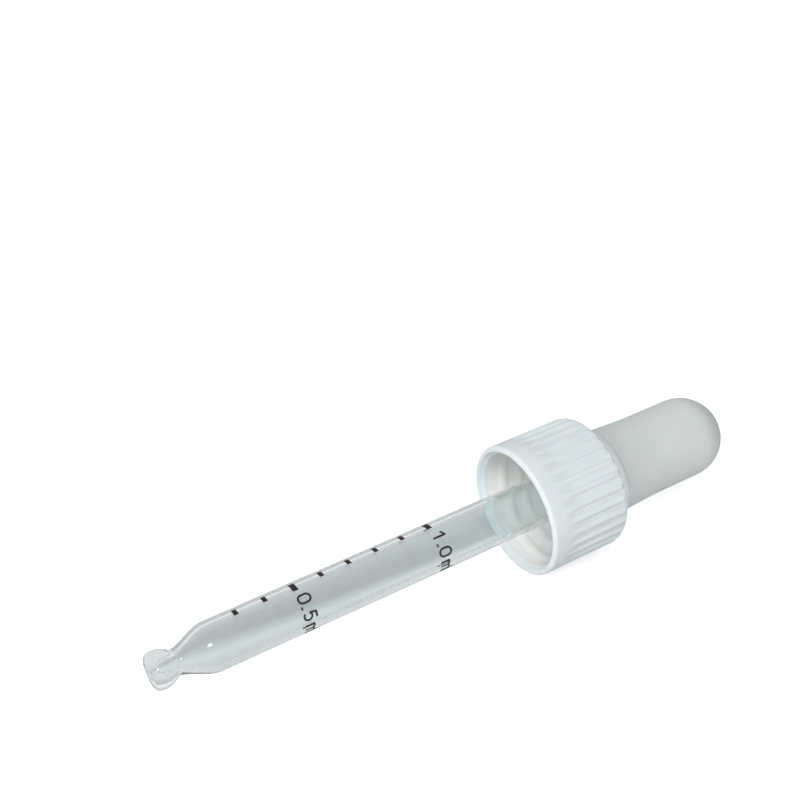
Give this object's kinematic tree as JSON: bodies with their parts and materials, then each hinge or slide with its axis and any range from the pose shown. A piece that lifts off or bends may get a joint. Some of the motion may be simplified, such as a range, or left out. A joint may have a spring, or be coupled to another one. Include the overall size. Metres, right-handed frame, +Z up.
{
  "type": "dropper pipette",
  "caption": "Glass dropper pipette with a ball tip and volume marks, in a ribbed screw cap with a soft rubber teat.",
  "frame": {"origin": "On the table that the pipette lies on, under the middle of its length", "axes": "+X along the table from the glass tip towards the teat, +Z up, +Y across the pipette. The pipette's own axis lies in the XZ plane and rises by 7.4 degrees towards +X, because it rests on the lip of its cap and on the ball of its tip"},
  "size_m": [0.0964, 0.0204, 0.0218],
  "materials": {
    "glass": "clear, flame-polished at both ends",
    "print_ink": "dark ceramic print, fired onto the glass",
    "cap_plastic": "white injection-moulded plastic with a slight sheen",
    "teat_rubber": "off-white, dull and slightly see-through at thin places"
  },
  "bodies": {
    "root": {"glass_tube": "glass", "screw_cap": "cap_plastic", "rubber_teat": "teat_rubber"}
  },
  "joints": []
}
